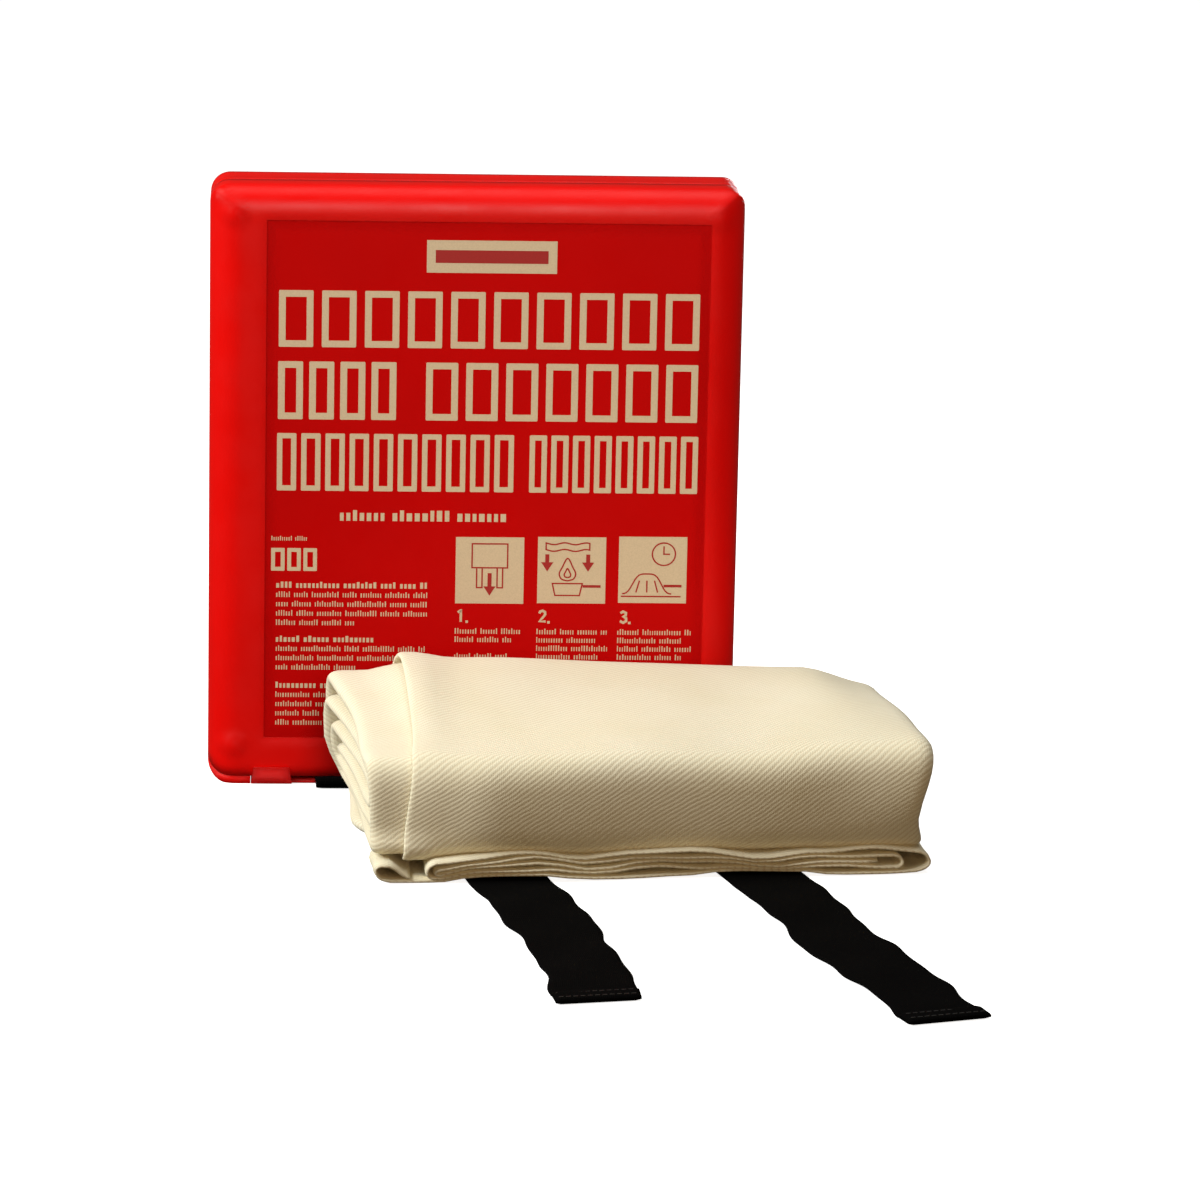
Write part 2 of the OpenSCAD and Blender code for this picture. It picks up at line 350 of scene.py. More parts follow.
def cloth_mesh(name, middle, flat, thickness, material):
    """A closed sheet around the grid of points in middle.

    flat gives each point's place in the weave. thickness is one number, or one for each row.
    """
    rows, cols, _ = middle.shape
    down = np.gradient(middle, axis=0)
    over = np.gradient(middle, axis=1)
    normal = np.cross(down, over)
    normal /= np.linalg.norm(normal, axis=-1, keepdims=True) + 1e-12
    half = np.ones((rows, cols, 1)) * np.reshape(thickness, (-1, 1, 1)) / 2
    for edge in (half[0], half[-1], half[:, 0], half[:, -1]):
        edge *= RIM_SHARE
    outer, inner = middle + normal * half, middle - normal * half
    points = np.concatenate([outer.reshape(-1, 3), inner.reshape(-1, 3)])
    count = rows * cols
    index = np.arange(count).reshape(rows, cols)
    rim = np.concatenate([index[0, :-1], index[:-1, -1], index[-1, :0:-1], index[:0:-1, 0]])
    after = np.roll(rim, -1)
    sides = np.stack([rim, after, after + count, rim + count], -1)
    faces = np.concatenate([grid_faces(rows, cols), grid_faces(rows, cols, count, True), sides])
    piece = add_mesh(name, points, faces, material)
    place = piece.data.attributes.new("flat_pos", "FLOAT_VECTOR", "POINT")
    place.data.foreach_set("vector", np.concatenate([flat, flat]).reshape(-1).astype(np.float32))
    return piece


def smooth_step(value, low, high):
    t = np.clip((value - low) / (high - low), 0, 1)
    return t * t * (3 - 2 * t)


def ripple(points, length, seed):
    """A smooth field from about -1 to 1 over points, with waves of about the given length."""
    chance = np.random.RandomState(seed)
    total = np.zeros(points.shape[:-1])
    for _ in range(5):
        way = chance.normal(size=3)
        way *= 2 * math.pi / length / np.linalg.norm(way) * chance.uniform(0.7, 1.4)
        total += np.sin(points @ way + chance.uniform(0, 2 * math.pi))
    return total / 3


# ---------------------------------------------------------------- folding

LAYER_PITCH = 2 * MM                # rough distance between layers, for the length of cloth in a fold
LIFT_RUN = 25 * MM                  # distance over which a lifted fold settles
WEAVE_SHIFT = 0.03                  # sets each layer's part of the weave apart from the next


def fold_across(ends, levels, reaches, step, lift=0.0):
    """The section of a strip of folded cloth: where each point lies across the strip, and its layer height.

    The cloth starts at ends[:, 0] and runs to ends[:, 1], then back to ends[:, 2], and so on, with one row
    of ends for each place along the strip. levels are the layers that the runs lie in, counted from the
    outside of the strip, with one value or one for each row. reaches are how far each fold bulges. lift
    raises the fold at ends[:, 1].
    """
    across, height, layer = [], [], []
    rows = len(ends)
    levels = [np.broadcast_to(np.reshape(level, (-1, 1)), (rows, 1)) for level in levels]
    middle = max(level.max() for level in levels) / 2
    way = 1 if ends[:, 1].mean() > ends[:, 0].mean() else -1
    for i, level in enumerate(levels):
        tuck_in = reaches[i - 1] if i > 0 else 0
        tuck_out = reaches[i] if i < len(levels) - 1 else 0
        start, stop = ends[:, i:i + 1] + way * tuck_in, ends[:, i + 1:i + 2] - way * tuck_out
        count = max(5, int(np.mean(np.abs(stop - start)) / step))
        share = 0.5 * (1 - np.cos(np.linspace(0, math.pi, count))) / 2 + 0.5 * np.linspace(0, 1, count)
        across.append(start + share * (stop - start))
        height.append(np.broadcast_to(middle - level, (rows, count)))
        layer.append(np.full(count, i))
        if i < len(levels) - 1:
            turn = np.linspace(math.pi / 2, -math.pi / 2, 11)[1:-1]
            half = (levels[i + 1] - level) / 2
            across.append(stop + way * tuck_out * np.abs(np.cos(turn)) ** 0.8)
            height.append(middle - (levels[i + 1] + level) / 2 + half * np.sin(turn))
            layer.append(np.full(len(turn), i + 0.5))
        way = -way
    across, height = np.concatenate(across, 1), np.concatenate(height, 1)
    near = 1 - smooth_step(np.abs(across - ends[:, 1:2]), 5 * MM, LIFT_RUN)
    height = height + lift * near * (np.concatenate(layer) < 2)
    spans = np.hypot(np.diff(across.mean(0)), np.diff(height.mean(0)) * LAYER_PITCH)
    return across, height, np.concatenate(layer), np.concatenate([[0], np.cumsum(spans)])


def half_turn(middle, reach, half, rising, outward, power, count=15):
    """A flattened half circle from one level to another. middle is (y, z), outward is +1 at the back."""
    angle = np.linspace(-math.pi / 2, math.pi / 2, count)[1:-1]
    if not rising:
        angle = -angle
    y = middle[0] + outward * reach * np.abs(np.cos(angle)) ** (2 / power)
    z = middle[1] + half * np.sign(np.sin(angle)) * np.abs(np.sin(angle)) ** (2 / power)
    return np.stack([y, z], 1)


def fold_line(levels, bends, reaches, start, stop, step, nest, power):
    """The middle line of a strip folded lengthwise, as (y, z): runs at the given levels and half turns.

    bends are how far the outermost turns go, at the back and at the front, and reaches are the lengths of
    those turns. nest is how much further in the next turn at the same side lies, as on a roll pressed flat.
    """
    line = []
    y = start
    for k, z in enumerate(levels):
        side = k % 2
        out = 1 - 2 * side
        depth = nest * (k // 2)
        reach = max(reaches[side] - depth, min(reaches[side], 8 * MM))
        turn_at = bends[side] - out * (depth + reach)
        if k == len(levels) - 1:
            turn_at = stop
        count = max(3, int(abs(turn_at - y) / step))
        line.append(np.stack([np.linspace(y, turn_at, count), np.full(count, z)], 1))
        if k < len(levels) - 1:
            half = abs(levels[k + 1] - z) / 2
            middle = (turn_at, (z + levels[k + 1]) / 2)
            line.append(half_turn(middle, reach, half, levels[k + 1] > z, out, power))
        y = turn_at
    line = np.concatenate(line)
    keep = np.concatenate([[True], np.linalg.norm(np.diff(line, axis=0), axis=1) > 0.2 * MM])
    return line[keep]


def line_frames(line):
    """The distance along a line in (y, z), and the direction square to it.

    That direction points outwards on a roll that starts below.
    """
    run = np.gradient(line, axis=0)
    run /= np.linalg.norm(run, axis=1, keepdims=True)
    along = np.concatenate([[0], np.cumsum(np.linalg.norm(np.diff(line, axis=0), axis=1))])
    return along, np.stack([run[:, 1], -run[:, 0]], 1)


def strip_points(line, out, section, thick, layers):
    """Every point of a folded cloth, as x, y, z: the section carried along the lengthwise line."""
    across, height = section
    rise = height * thick[:, None] / layers
    y = line[:, 0:1] + out[:, 0:1] * rise
    z = line[:, 1:2] + out[:, 1:2] * rise
    return np.stack([np.broadcast_to(across, y.shape), y, z], -1)


def weave_places(across, layer, along):
    """Where each point lies in the weave. Layers mirror each other, so that the ribs match at the folds."""
    flat = np.zeros((*across.shape, 3))
    flat[..., 0] = across
    flat[..., 1] = along[:, None]
    flat[..., 2] = layer[None, :] * WEAVE_SHIFT
    return flat


def flat_places(over, along):
    flat = np.zeros((len(along), len(over), 3))
    flat[..., 0] = over[None, :]
    flat[..., 1] = along[:, None]
    return flat


# ---------------------------------------------------------------- the unpacked blanket

CLOTH_T = 1.0 * MM
HEM_T = 1.9 * MM
FOLD_D = 150 * MM
BACK_H = 70.0                       # heights of the fold, in mm
FRONT_H = 61.0
FLOOR_GAP = 0.5 * MM
LAYERS = 5                          # of cloth in the strip that is rolled flat
BUNDLE_T = 13.5 * MM                # the loose free end of the strip, at the front
STRIP_T = 9.1 * MM                  # the strip where the layers above press it
RUN_LEVELS = (0, 6, 1, 5, 2, 4, 3)  # of the rolled strip, from its free end, counted from below
PRESSED_H = (FLOOR_GAP + len(RUN_LEVELS) * STRIP_T) / MM
TAPE_RUN = 45 * MM                  # length of a tape under the blanket


def tape_direction(joint):
    """Where a tape starts, the way it runs, and the way to its right."""
    axis = Vector(joint["axis"])
    return Vector(joint["pos_m"]), UP.cross(axis), -axis


def folded_blanket():
    """One sheet folded across into a strip, and the strip rolled flat with its free end below, in front."""
    levels = [FLOOR_GAP + STRIP_T * (k + 0.5) for k in RUN_LEVELS]
    edge = FOLD_D / 2 - STRIP_T / 2
    turns = (13 * MM, 15 * MM)
    line = fold_line(levels, (edge, -edge), turns, -FOLD_D / 2, 38 * MM, 5 * MM, STRIP_T, 3.2)
    along, out = line_frames(line)
    # 1 in the free end, and 0 where the layers above press the strip
    loose = 1 - smooth_step(along, 22 * MM, 95 * MM)
    thick = STRIP_T + (BUNDLE_T - STRIP_T) * loose
    line[:, 1] += loose * (BUNDLE_T - STRIP_T) / 2

    # the hem and the fold of the outer layer's free edge, the nested folds in turn, and the last edge
    s = along / MM
    sway = np.stack([3.0 * np.sin(s / 37 + a) + 1.5 * np.sin(s / 17 + 2 * a) for a in range(7)], 1)
    ends = np.array([[-97, -113, 137, -137, 114, -104, 100]]) + sway * [0.4, 0.4, 0.3, 0.4, 0.8, 0.8, 1]
    ends = ends + loose[:, None] * np.array([[-22, -24, 1, 26, 11, 0, 13]])
    edge_shift = np.interp(s, [140, 200, 315, 375], [0, 7, -4, -7])
    ends[:, 0] += edge_shift
    ends[:, 1] += edge_shift
    levels = [0.75 + 2.6 * loose, 0, 4, 1, 3, 2]
    reaches = [(3 + 4 * loose[:, None]) * MM, 8 * MM, 7 * MM, 5 * MM, 4 * MM]
    on_top = np.interp(s, [150, 190, 230, 300], [0, 1, 1, 0])[:, None]
    lift = 0.8 * (1 - loose[:, None]) * (1 + 0.8 * on_top)
    across, height, layer, over = fold_across(ends * MM, levels, reaches, 8.5 * MM, lift)
    weave = weave_places(across, layer, along)
    curl = smooth_step(across - ends[:, 1:2] * MM, 6 * MM, 17 * MM) * (layer == 0)
    height = height + 2.4 * loose[:, None] * curl
    height = height + 0.16 * loose[:, None] * np.sin(across / (17 * MM) + 1.9 * layer)
    points = strip_points(line, out, (across, height), thick, LAYERS)
    points = soften_fold(points, loose[:, None])

    cos, sin = math.cos(FOLD_TURN), math.sin(FOLD_TURN)
    world = points.copy()
    world[..., 0] = FOLD_MID.x + points[..., 0] * cos - points[..., 1] * sin
    world[..., 1] = FOLD_MID.y + points[..., 0] * sin + points[..., 1] * cos
    lift_over_tapes(world)
    hem = 1 - smooth_step(along, 9 * MM, 12 * MM)
    piece = cloth_mesh("blanket_cloth", world, weave, CLOTH_T + (HEM_T - CLOTH_T) * hem, CLOTH)
    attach(piece, "unpacked_blanket")
    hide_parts("folded_blanket")
    return along[-1]


def soften_fold(points, loose):
    """Gives the straight folded block the slumps and bulges of soft cloth."""
    x, y, z = points[..., 0] / MM, points[..., 1] / MM, points[..., 2] / MM
    front = smooth_step(-y, -75, 75)
    right_back = smooth_step(y, -55, 75)
    z = z * (BACK_H * (1 - front) + FRONT_H * front) / PRESSED_H
    # the back right corner slumps and is drawn in
    z = z * (1 - 0.13 * smooth_step(x, 96, 138) * right_back)
    x = x - 5 * smooth_step(x, 60, 138) * right_back * smooth_step(z, 4, 50)
    # the back left is the highest place
    z = z * (1 + 0.14 * smooth_step(-x, -120, 120) * smooth_step(y, -60, 75))
    # the left end is lower than the rest at the back, and spreads there
    z = z * (1 - 0.05 * smooth_step(-x, 104, 122) * smooth_step(y, -75, 40))
    x = x - 10 * smooth_step(-x, 60, 138) * smooth_step(y, -20, 75) * smooth_step(z, 5, 40)
    # the front right corner stands up, and the front turns away at the left
    z = z * (1 + 0.08 * smooth_step(x, 40, 138) * front)
    y = y + 13 * smooth_step(-x, 76, 140) * smooth_step(-y, 20, 75) * smooth_step(z, 10, 24)
    y = y - 6 * smooth_step(x, 84, 138) * smooth_step(-y, 30, 75) * smooth_step(z, 16, 40)
    corner = smooth_step(x, 112, 138) * smooth_step(z, 44, 60) * smooth_step(-y, 30, 70)
    x, z = x + 1.5 * corner, z + 1.5 * corner
    # the right end is drawn in above the bundle
    waist = np.exp(-((z - 30) / 15) ** 2)
    x = x - 5.5 * smooth_step(x, 96, 138) * waist * smooth_step(-y, -40, 60)
    # soft waves through the whole block
    block = np.stack([x, y, z], -1)
    x = x + 1.2 * ripple(block, 90, 3)
    y = y + 1.1 * ripple(block, 110, 5) * smooth_step(z, 3, 20)
    z = z + 1.2 * ripple(block, 100, 7) * smooth_step(z, 3, 30)
    # the free end at the front is wavy
    wavy = loose * smooth_step(-y, 35, 75)
    wave_z = 1.2 * np.sin(x / 13 + 0.6) + 1.0 * np.sin(x / 31 + 2) + 0.5 * np.sin(x / 7 + z / 3)
    z = z + 1.25 * wavy * wave_z * smooth_step(z, 0, 7) * smooth_step(-z, -20, -13)
    y = y + wavy * 1.5 * np.sin(x / 23 + z / 4)
    return np.stack([x, y, np.maximum(z, 0.7)], -1) * MM


def lift_over_tapes(world):
    """Raises the lowest layers where a tape lies under them."""
    for name in ("tape_left_lift", "tape_right_lift"):
        root, forward, right = tape_direction(JOINTS[name])
        from_root = world - np.array(root) * [1, 1, 0]
        aside = np.abs(from_root @ np.array(right))
        ahead = from_root @ np.array(forward)
        over = smooth_step(ahead, -TAPE_RUN - 14 * MM, -TAPE_RUN + 4 * MM)
        over = over * (1 - smooth_step(aside, 18 * MM, 34 * MM))
        world[..., 2] += 2.0 * MM * over * np.clip(1 - world[..., 2] / (22 * MM), 0, 1)


# ---------------------------------------------------------------- tapes

TAPE_W = 40 * MM
TAPE_T = 1.3 * MM
TAPE_HEM_T = 3.0 * MM
TAPE_HEM = 12 * MM


def pull_tape(side, bend, seed):
    """A tape with wavy edges and a hem at its end. It lies on the surface, and starts under the blanket."""
    node = body = f"tape_{side}"
    root, forward, right = tape_direction(JOINTS[f"tape_{side}_lift"])
    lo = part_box(node)[0]
    length = (root.y - lo.y - TAPE_W / 2 * abs(forward.x)) / abs(forward.y)
    plain = np.arange(-TAPE_RUN, length - TAPE_HEM, 2 * MM)
    s = np.concatenate([plain, length - np.linspace(TAPE_HEM, 0, 9)])
    c = np.linspace(-1, 1, 17)
    free = smooth_step(s, 0, 40 * MM)[:, None] * smooth_step(-s, -length, -length + 25 * MM)[:, None]
    chance = np.random.RandomState(seed)
    edges = []
    for _ in range(2):
        phase = chance.uniform(0, 2 * math.pi, 3)
        kinks = np.sin(s / (5.2 * MM) + phase[0]) + 1.3 * np.sin(s / (9.5 * MM) + phase[1])
        edges.append(0.55 * kinks + 1.4 * np.sin(s / (21 * MM) + phase[2]))
    wander = bend * np.sin(math.pi * np.clip(s, 0, length) / length)[:, None]
    aside = c[None, :] * TAPE_W / 2 + wander
    aside = aside + free * MM * (edges[0][:, None] * (1 - c) / 2 + edges[1][:, None] * (1 + c) / 2)
    hem = smooth_step(s, length - TAPE_HEM, length - TAPE_HEM + 1.5 * MM)
    thick = TAPE_T + (TAPE_HEM_T - TAPE_T) * hem
    puckers = np.sin(s / (8.5 * MM) + seed)[:, None] * np.sin(2.2 * c + seed)
    puckers = puckers + np.sin(s[:, None] / (19 * MM) + 1.7 * c)
    height = thick[:, None] / 2 + free * 0.55 * MM * (1.7 + puckers) + 0.05 * MM
    ground = np.array(root) * [1, 1, 0]
    middle = ground + s[:, None, None] * np.array(forward) + aside[..., None] * np.array(right)
    middle[..., 2] = height
    piece = cloth_mesh(f"tape_{side}_webbing", middle, flat_places(c * TAPE_W / 2, s), thick, WEBBING)
    stitching = f"tape_{side}_stitching"
    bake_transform(piece)
    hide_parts(node)
    paint(stitching, THREAD)


# ---------------------------------------------------------------- the pack in the case

PACK_T = 0.9 * MM
LOOP_T = 1.1 * MM


def packed_blanket(sheet_length):
    """The same sheet as it waits in the case: folded in six across, then in four lengthwise.

    The tapes' end is at the front, and the other end stops short at the back, where the sheet runs out.
    """
    runs, layers = 4, 6
    depth = PACK_HI.y - PACK_LO.y
    strip = depth / runs
    levels = [PACK_HI.y - strip * (k + 0.5) for k in range(runs)]
    low, high = PACK_LO.z + 2 * MM, PACK_HI.z - 2 * MM
    # the first pass finds how much too long full runs are, and the second starts the line that much later
    start = low
    for _ in range(2):
        line = fold_line(levels, (high, low), (5 * MM, 5 * MM), start, low, 7 * MM, 0, 2.3)
        along, out = line_frames(line)
        start += along[-1] - sheet_length
    s = along / MM
    half = (PACK_HI.x - PACK_LO.x) / 2 / MM - 5
    ends = np.array([[half * (-1) ** (k + 1) for k in range(layers + 1)]])
    sway = [1.5 * np.sin(s / 41 + k) + np.sin(s / 19 + 2.1 * k) for k in range(layers + 1)]
    ends = (ends + np.stack(sway, 1)) * MM
    across, height, layer, over = fold_across(ends, list(range(layers)), [2 * MM] * (layers - 1), 8 * MM)
    weave = weave_places(across, layer, along)
    points = strip_points(line, out, (across, height), np.full(len(s), strip * 0.97), layers)
    # this strip stands upright: the line's first value is the height
    points = points[..., [0, 2, 1]]
    points[..., 0] += (PACK_LO.x + PACK_HI.x) / 2
    piece = cloth_mesh("packed_cloth", points, weave, PACK_T, CLOTH)
    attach(piece, "pack")
    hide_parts("packed_blanket")


def packed_loop(name, node):
    """A pull tape that comes out under the cover and turns back in, as a soft loop."""
    lo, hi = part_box(node)
    ends = [v.co.z for v in frame["nodes"][node].data.vertices if v.co.y > hi.y - 0.1 * MM]
    upper, lower = max(ends) - LOOP_T / 2, min(ends) + LOOP_T / 2
    radius = (hi.z - lo.z - LOOP_T) / 2
    heart = (lo.y + (hi.z - lo.z) / 2, (lo.z + hi.z) / 2)
    mouth = CASE_FRONT_Y - 0.3 * MM
    turn = np.radians(np.linspace(75, 285, 22))
    curve = np.stack([heart[0] + radius * np.cos(turn), heart[1] + radius * np.sin(turn)], 1)
    knots = np.concatenate([[[hi.y, upper], [mouth, upper]], curve, [[mouth, lower], [hi.y, lower]]])
    run = np.concatenate([[0], np.cumsum(np.linalg.norm(np.diff(knots, axis=0), axis=1))])
    s = np.arange(0, run[-1], 1.2 * MM)
    line = np.stack([np.interp(s, run, knots[:, k]) for k in (0, 1)], 1)
    for _ in range(3):
        line[1:-1] = (line[:-2] + 2 * line[1:-1] + line[2:]) / 4
    c = np.linspace(-1, 1, 13)
    half = (hi.x - lo.x) / 2
    x = (lo.x + hi.x) / 2 + c[None, :] * half
    x = x + 0.4 * MM * np.sin(s / (5 * MM))[:, None] * c
    middle = np.stack([x, *(np.broadcast_to(line[:, k:k + 1], x.shape) for k in (0, 1))], -1)
    piece = cloth_mesh(name, middle, flat_places(c * half, s), LOOP_T, WEBBING)
    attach(piece, "pack")
    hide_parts(node)


# ---------------------------------------------------------------- print on the label

class Print:
    """Flat shapes of ink on the label. Places are in mm, right of the case's middle and above its base."""

    def __init__(self, lift):
        self.front = LABEL_FRONT_Y - lift
        self.quads = []

    def quad(self, *corners):
        corners = np.array(corners, float)
        after = np.roll(corners, -1, axis=0)
        area = np.sum(corners[:, 0] * after[:, 1] - after[:, 0] * corners[:, 1])
        self.quads.append(corners if area > 0 else corners[::-1])

    def bar(self, left, bottom, right, top):
        self.quad((left, bottom), (right, bottom), (right, top), (left, top))

    def band(self, inner, outer):
        for k in range(len(inner) - 1):
            self.quad(inner[k], outer[k], outer[k + 1], inner[k + 1])

    def stroke(self, points, width, closed=False):
        """A line of even width through points."""
        points = np.array(points, float)
        if closed:
            ring = np.concatenate([points[-1:], points, points[:2]])
        else:
            ring = np.concatenate([2 * points[:1] - points[1:2], points, 2 * points[-1:] - points[-2:-1]])
        run = np.diff(ring, axis=0)
        run /= np.linalg.norm(run, axis=1, keepdims=True) + 1e-9
        side = np.stack([-run[:, 1], run[:, 0]], 1)
        mid = side[:-1] + side[1:]
        mid /= np.sum(mid * side[:-1], axis=1, keepdims=True).clip(0.7)
        spine = ring[1:-1]
        self.band(spine - mid * width / 2, spine + mid * width / 2)

    def curve(self, points, width):
        """A smooth line of even width that passes through points."""
        p = np.array(points, float)
        p = np.concatenate([2 * p[:1] - p[1:2], p, 2 * p[-1:] - p[-2:-1]])
        t = np.linspace(0, 1, 7)[:, None]
        line = [p[1:2]]
        for a, b, c, d in zip(p, p[1:], p[2:], p[3:]):
            bent = b + 0.5 * t * (c - a + t * (2 * a - 5 * b + 4 * c - d + t * (3 * (b - c) + d - a)))
            line.append(bent[1:])
        self.stroke(np.concatenate(line), width)

    def box(self, left, bottom, right, top, width, radius):
        """The outline of a rounded box, with the outer edge at the given places."""
        rings = []
        for inset in (width, 0):
            r = max(radius - inset, 0.2)
            ring = []
            for cx, cz, start in (
                (right - inset - r, bottom + inset + r, -90), (right - inset - r, top - inset - r, 0),
                (left + inset + r, top - inset - r, 90), (left + inset + r, bottom + inset + r, 180),
            ):
                for angle in np.radians(start + np.array([0, 30, 60, 90])):
                    ring.append((cx + r * math.cos(angle), cz + r * math.sin(angle)))
            rings.append(ring + ring[:1])
        self.band(rings[0], rings[1])

    def words(self, left, right, middle, height, seed, bold=0.3):
        """A line of small ticks in groups, in place of a line of small words."""
        chance = np.random.RandomState(seed)
        x = left
        while x < right - height:
            stop = min(x + height * chance.uniform(2, 7), right)
            while x < stop:
                tall = height if chance.uniform() < 0.3 else height * 0.74
                wide = height * chance.uniform(0.8, 1.2) * bold
                self.bar(x, middle - height / 2, x + wide, middle - height / 2 + tall)
                x += wide + height * 0.24
            x += height * 0.5

    def build(self, name, material, thickness=0.07 * MM):
        points, faces = [], []
        for corners in self.quads:
            first = len(points)
            for y in (self.front, self.front + thickness):
                points += [(CASE_MID_X + x * MM, y, z * MM) for x, z in corners]
            faces += [[first + k for k in (0, 1, 2, 3)], [first + k for k in (7, 6, 5, 4)]]
            for k in range(4):
                after = (k + 1) % 4
                faces.append([first + k, first + k + 4, first + after + 4, first + after])
        piece = add_mesh(name, points, faces, material, False)
        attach(piece, "case")


# places are in mm, as in Print
# bottom, top, the left, right and number of boxes of each word, and the width of the lines
HEADLINES = (
    (228.7, 257.8, ((-100.0, 112.3, 10),), 3.4),
    (191.4, 221.3, ((-100.2, -40.5, 4), (-25.5, 112.2, 7)), 3.4),
    (154.4, 184.2, ((-100.5, 19.5, 10), (27.5, 113.1, 8)), 2.7),
)
SMALL_LEFT = -100.4                 # left edge of the small print
# the middle and the right end of each heading, and the lines below it
PARAGRAPHS = ((105.2, -23.3, 4), (76.8, -50, 3), (52.5, -72, 4))
TILE = 34.8
TILES = ((-9.2, 96.1), (32.6, 96.5), (74.0, 97.0))      # lower left corners of the picture tiles
STEP_WIDTHS = (34, 36, 38)          # of the small print under each tile
STEP_GAPS = (2, 4, 4)               # the line left blank in it


def label_print():
    ink = Print(0.06 * MM)
    # a blank plate at the top
    ink.bar(-25.9, 267.5, 39.7, 284.1)
    headlines(ink)
    small_print(ink)
    step_tiles(ink)
    figures(ink)
    ink.build("label_ink", INK)

    drawing = Print(0.1 * MM)
    drawing.bar(-21.5, 272.5, 35.3, 279.1)
    picture_pull(drawing)
    picture_cover(drawing)
    picture_wait(drawing)
    drawing.build("label_drawings", DRAWING_INK)


def headlines(ink):
    """Rows of plain boxes."""
    for bottom, top, groups, width in HEADLINES:
        for left, right, count in groups:
            pitch = (right - left) / (count - 0.2)
            for k in range(count):
                start = left + k * pitch
                ink.box(start, bottom, start + pitch * 0.8, top, width, 0.6)


def small_print(ink):
    """The line under the rows of boxes, a short line over three small boxes, and the paragraphs."""
    ink.words(-68.3, 14.6, 141.7, 5.6, 1, 0.42)
    ink.words(-103, -84, 129.5, 2.4, 2, 0.22)
    for k in range(3):
        ink.box(-103.1 + 8.2 * k, 112.5, -96.2 + 8.2 * k, 124.4, 2.0, 0.4)
    for heading, right, lines in PARAGRAPHS:
        ink.words(SMALL_LEFT, right, heading, 3.2, int(heading), 0.42)
        for k in range(lines):
            end = -24 if k < lines - 1 else -60
            ink.words(SMALL_LEFT, end, heading - 5.0 - 4.9 * k, 2.9, int(heading) + k, 0.2)


def step_tiles(ink):
    """The three picture tiles, and the small print under each."""
    for number, (left, bottom) in enumerate(TILES):
        ink.bar(left, bottom, left + TILE, bottom + TILE)
        for k in range(9):
            if k == STEP_GAPS[number]:
                continue
            right = left + STEP_WIDTHS[number] - 5 * (k % 2)
            ink.words(left, right, 81.6 - 4.4 * k, 2.9, 40 + 9 * number + k, 0.2)


def on_tile(number, *points):
    """Points given in hundredths of a tile's side, as places on the label."""
    left, bottom = TILES[number]
    return [(left + u * TILE / 100, bottom + v * TILE / 100) for u, v in points]


def figures(ink):
    """The figures 1, 2 and 3 under the tiles."""
    shapes = (
        ((0.5, 4.9), (1.9, 6.0), (2.0, 6.0), (2.0, 0.0)),
        ((0.3, 4.7), (0.8, 5.7), (2.0, 6.1), (3.2, 5.5), (3.3, 4.2), (2.2, 2.6), (0.4, 0.5), (3.6, 0.5)),
        (
            (0.4, 5.2), (1.8, 6.0), (3.2, 5.3), (3.1, 3.9), (1.8, 3.3),
            (3.3, 2.6), (3.4, 1.0), (1.9, 0.1), (0.3, 1.0),
        ),
    )
    for shape, (left, _) in zip(shapes, TILES):
        ink.stroke([(left + 1 + x, 86.4 + z) for x, z in shape], 1.25)
        ink.bar(left + 5.4, 85.8, left + 6.7, 87.1)


LINE_W = 0.75                       # of the pictograms, in mm


def arrow(ink, number, mid, top, tip):
    """A broad arrow that points down."""
    neck = tip + 14
    ink.bar(*on_tile(number, (mid - 3, neck))[0], *on_tile(number, (mid + 3, top))[0])
    ink.quad(*on_tile(number, (mid - 9, neck), (mid, tip), (mid + 0.1, tip), (mid + 9, neck)))


def pan_handle(ink, number):
    ink.bar(*on_tile(number, (66.5, 24))[0], *on_tile(number, (93, 28))[0])


def picture_pull(ink):
    """The case with its two tapes, and an arrow down."""
    ink.stroke(on_tile(0, (24, 54), (24, 90), (76, 90), (76, 54)), LINE_W, closed=True)
    for mid in (35, 65):
        ink.stroke(on_tile(0, (mid - 4, 52.8), (mid - 4, 24), (mid + 4, 24), (mid + 4, 52.8)), LINE_W)
    arrow(ink, 0, 50, 46, 12)


def picture_cover(ink):
    """A blanket comes down on a burning pan."""
    ink.stroke(on_tile(1, (22, 30), (26, 12), (62, 12), (66, 30)), LINE_W, closed=True)
    pan_handle(ink, 1)
    right_side = [(0, 0), (9, 3), (12, 11), (8, 20), (0, 34)]
    flame = right_side + [(-u, v) for u, v in right_side[-2:0:-1]] + [(0, 0)]
    for size, foot in ((1, 34), (0.4, 39)):
        ink.curve(on_tile(1, *[(44 + size * u, foot + size * v) for u, v in flame]), LINE_W)
    across = np.linspace(12, 76, 17)
    lower, upper = ([(u, rise + 1.5 * math.sin(u / 5)) for u in across] for rise in (80, 90))
    ink.stroke(on_tile(1, *lower, *upper[::-1]), LINE_W, closed=True)
    arrow(ink, 1, 14, 74, 48)
    arrow(ink, 1, 74, 74, 48)


def picture_wait(ink):
    """The blanket lies over the pan, and a clock counts."""
    rise = [(u, 14 + 30 * math.exp(-((u - 42) / 23) ** 4)) for u in np.linspace(6, 78, 25)]
    ink.stroke(on_tile(2, *rise), LINE_W)
    ink.stroke(on_tile(2, (4, 10), (92, 10)), LINE_W)
    pan_handle(ink, 2)
    for foot, top in ((26, 31), (42, 42), (58, 53)):
        ink.stroke(on_tile(2, (foot, 16), (top, 34)), LINE_W)
    angles = np.linspace(0, 2 * math.pi, 24, endpoint=False)
    dial = [(66 + 17 * math.cos(angle), 74 + 17 * math.sin(angle)) for angle in angles]
    ink.stroke(on_tile(2, *dial), LINE_W, closed=True)
    ink.stroke(on_tile(2, (66, 86), (66, 74), (75, 74)), LINE_W)


# ---------------------------------------------------------------- lights and floor

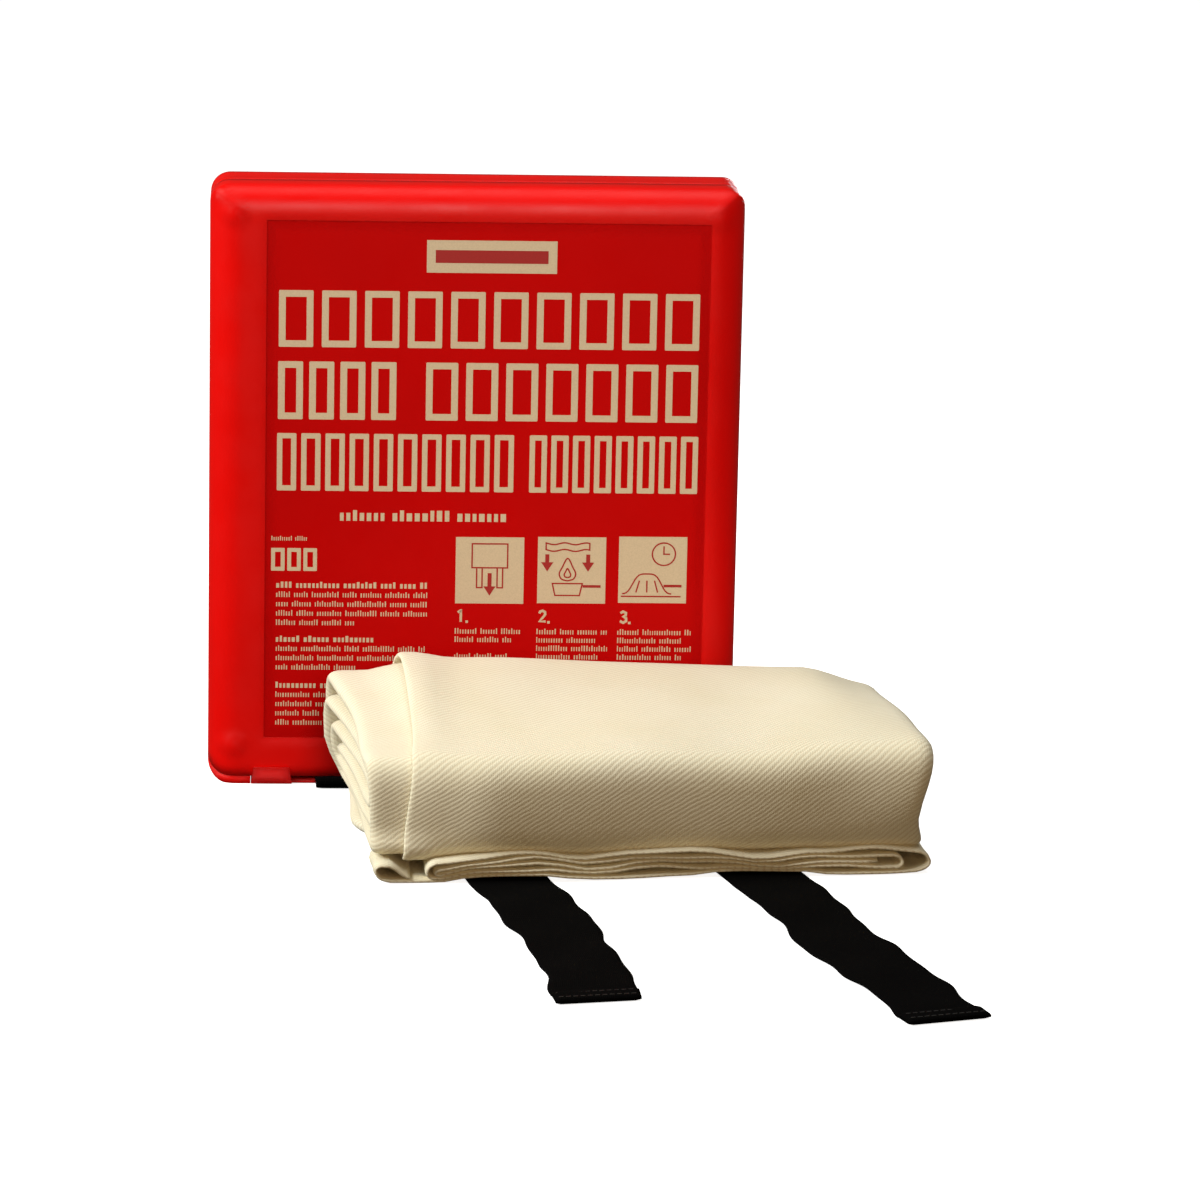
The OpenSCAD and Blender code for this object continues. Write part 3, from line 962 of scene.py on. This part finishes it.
def add_light(name, place, target, size, power, color=(1, 1, 1), only=None):
    """An area light that looks at target. only is the collection of objects that it reaches."""
    data = bpy.data.lights.new(name, "AREA")
    data.shape = "RECTANGLE"
    data.size, data.size_y = size
    data.energy = power
    data.color = color
    light = bpy.data.objects.new(name, data)
    way = Vector(target) - Vector(place)
    light.rotation_mode = "QUATERNION"
    light.rotation_quaternion = way.to_track_quat("-Z", "Y")
    light.location = place
    bpy.context.collection.objects.link(light)
    if only is not None:
        light.light_linking.receiver_collection = only


def add_floor():
    shader = Shader("pale_floor", 0.9, Specular_IOR_Level=0.1)
    shader.surface.inputs["Emission Color"].default_value = rgb(1, 1, 1)
    shader.surface.inputs["Emission Strength"].default_value = 0.85
    material = shader.finish(rgb(0.9, 0.9, 0.9))
    reach = 12
    corners = [(-reach, -reach, 0), (reach, -reach, 0), (reach, reach, 0), (-reach, reach, 0)]
    floor = add_mesh("floor", corners, [(0, 1, 2, 3)], material, False)
    floor.visible_diffuse = False
    floor.visible_glossy = False


def add_world():
    world = bpy.data.worlds.new("studio")
    world.use_nodes = True
    background = world.node_tree.nodes["Background"]
    background.inputs["Color"].default_value = rgb(1.0, 0.88, 0.70)
    background.inputs["Strength"].default_value = 0.08
    bpy.context.scene.world = world
    bpy.context.scene.view_settings.view_transform = "Standard"


def light_stage():
    case_only = bpy.data.collections.new("case_light")
    for node in ("back_shell", "front_cover", "bottom_flap", "front_label"):
        case_only.objects.link(frame["nodes"][node])
    for name in ("label_ink", "label_drawings"):
        case_only.objects.link(bpy.data.objects[name])
    add_light("key", (-1.7, -0.15, 1.25), (0, 0.05, 0.05), (1.2, 1.0), 54, (0.97, 0.975, 0.92))
    add_light("top", (0.3, 0.35, 2.2), (0.05, 0.0, 0.0), (1.4, 1.2), 20, (0.95, 0.985, 0.96))
    add_light("front", (0.3, -2.6, 0.7), (0, 0.1, 0.1), (1.2, 0.8), 12.5, (1.0, 0.66, 0.34))
    add_light("case_front", (0.15, -2.6, 1.5), (0, 0.2, 0.15), (1.0, 1.0), 50, (1, 1, 1), case_only)
    add_light("case_back", (0.6, 2.6, 0.15), (0, 0.2, 0.15), (1.2, 0.25), 22, (1, 1, 1), case_only)


add_camera()
add_floor()
add_world()
paint_case()
pull_tape("left", 5 * MM, 3)
pull_tape("right", -3 * MM, 8)
sheet_length = folded_blanket()
packed_blanket(sheet_length)
packed_loop("packed_loop_left", "packed_tape_left")
packed_loop("packed_loop_right", "packed_tape_right")
label_print()
light_stage()
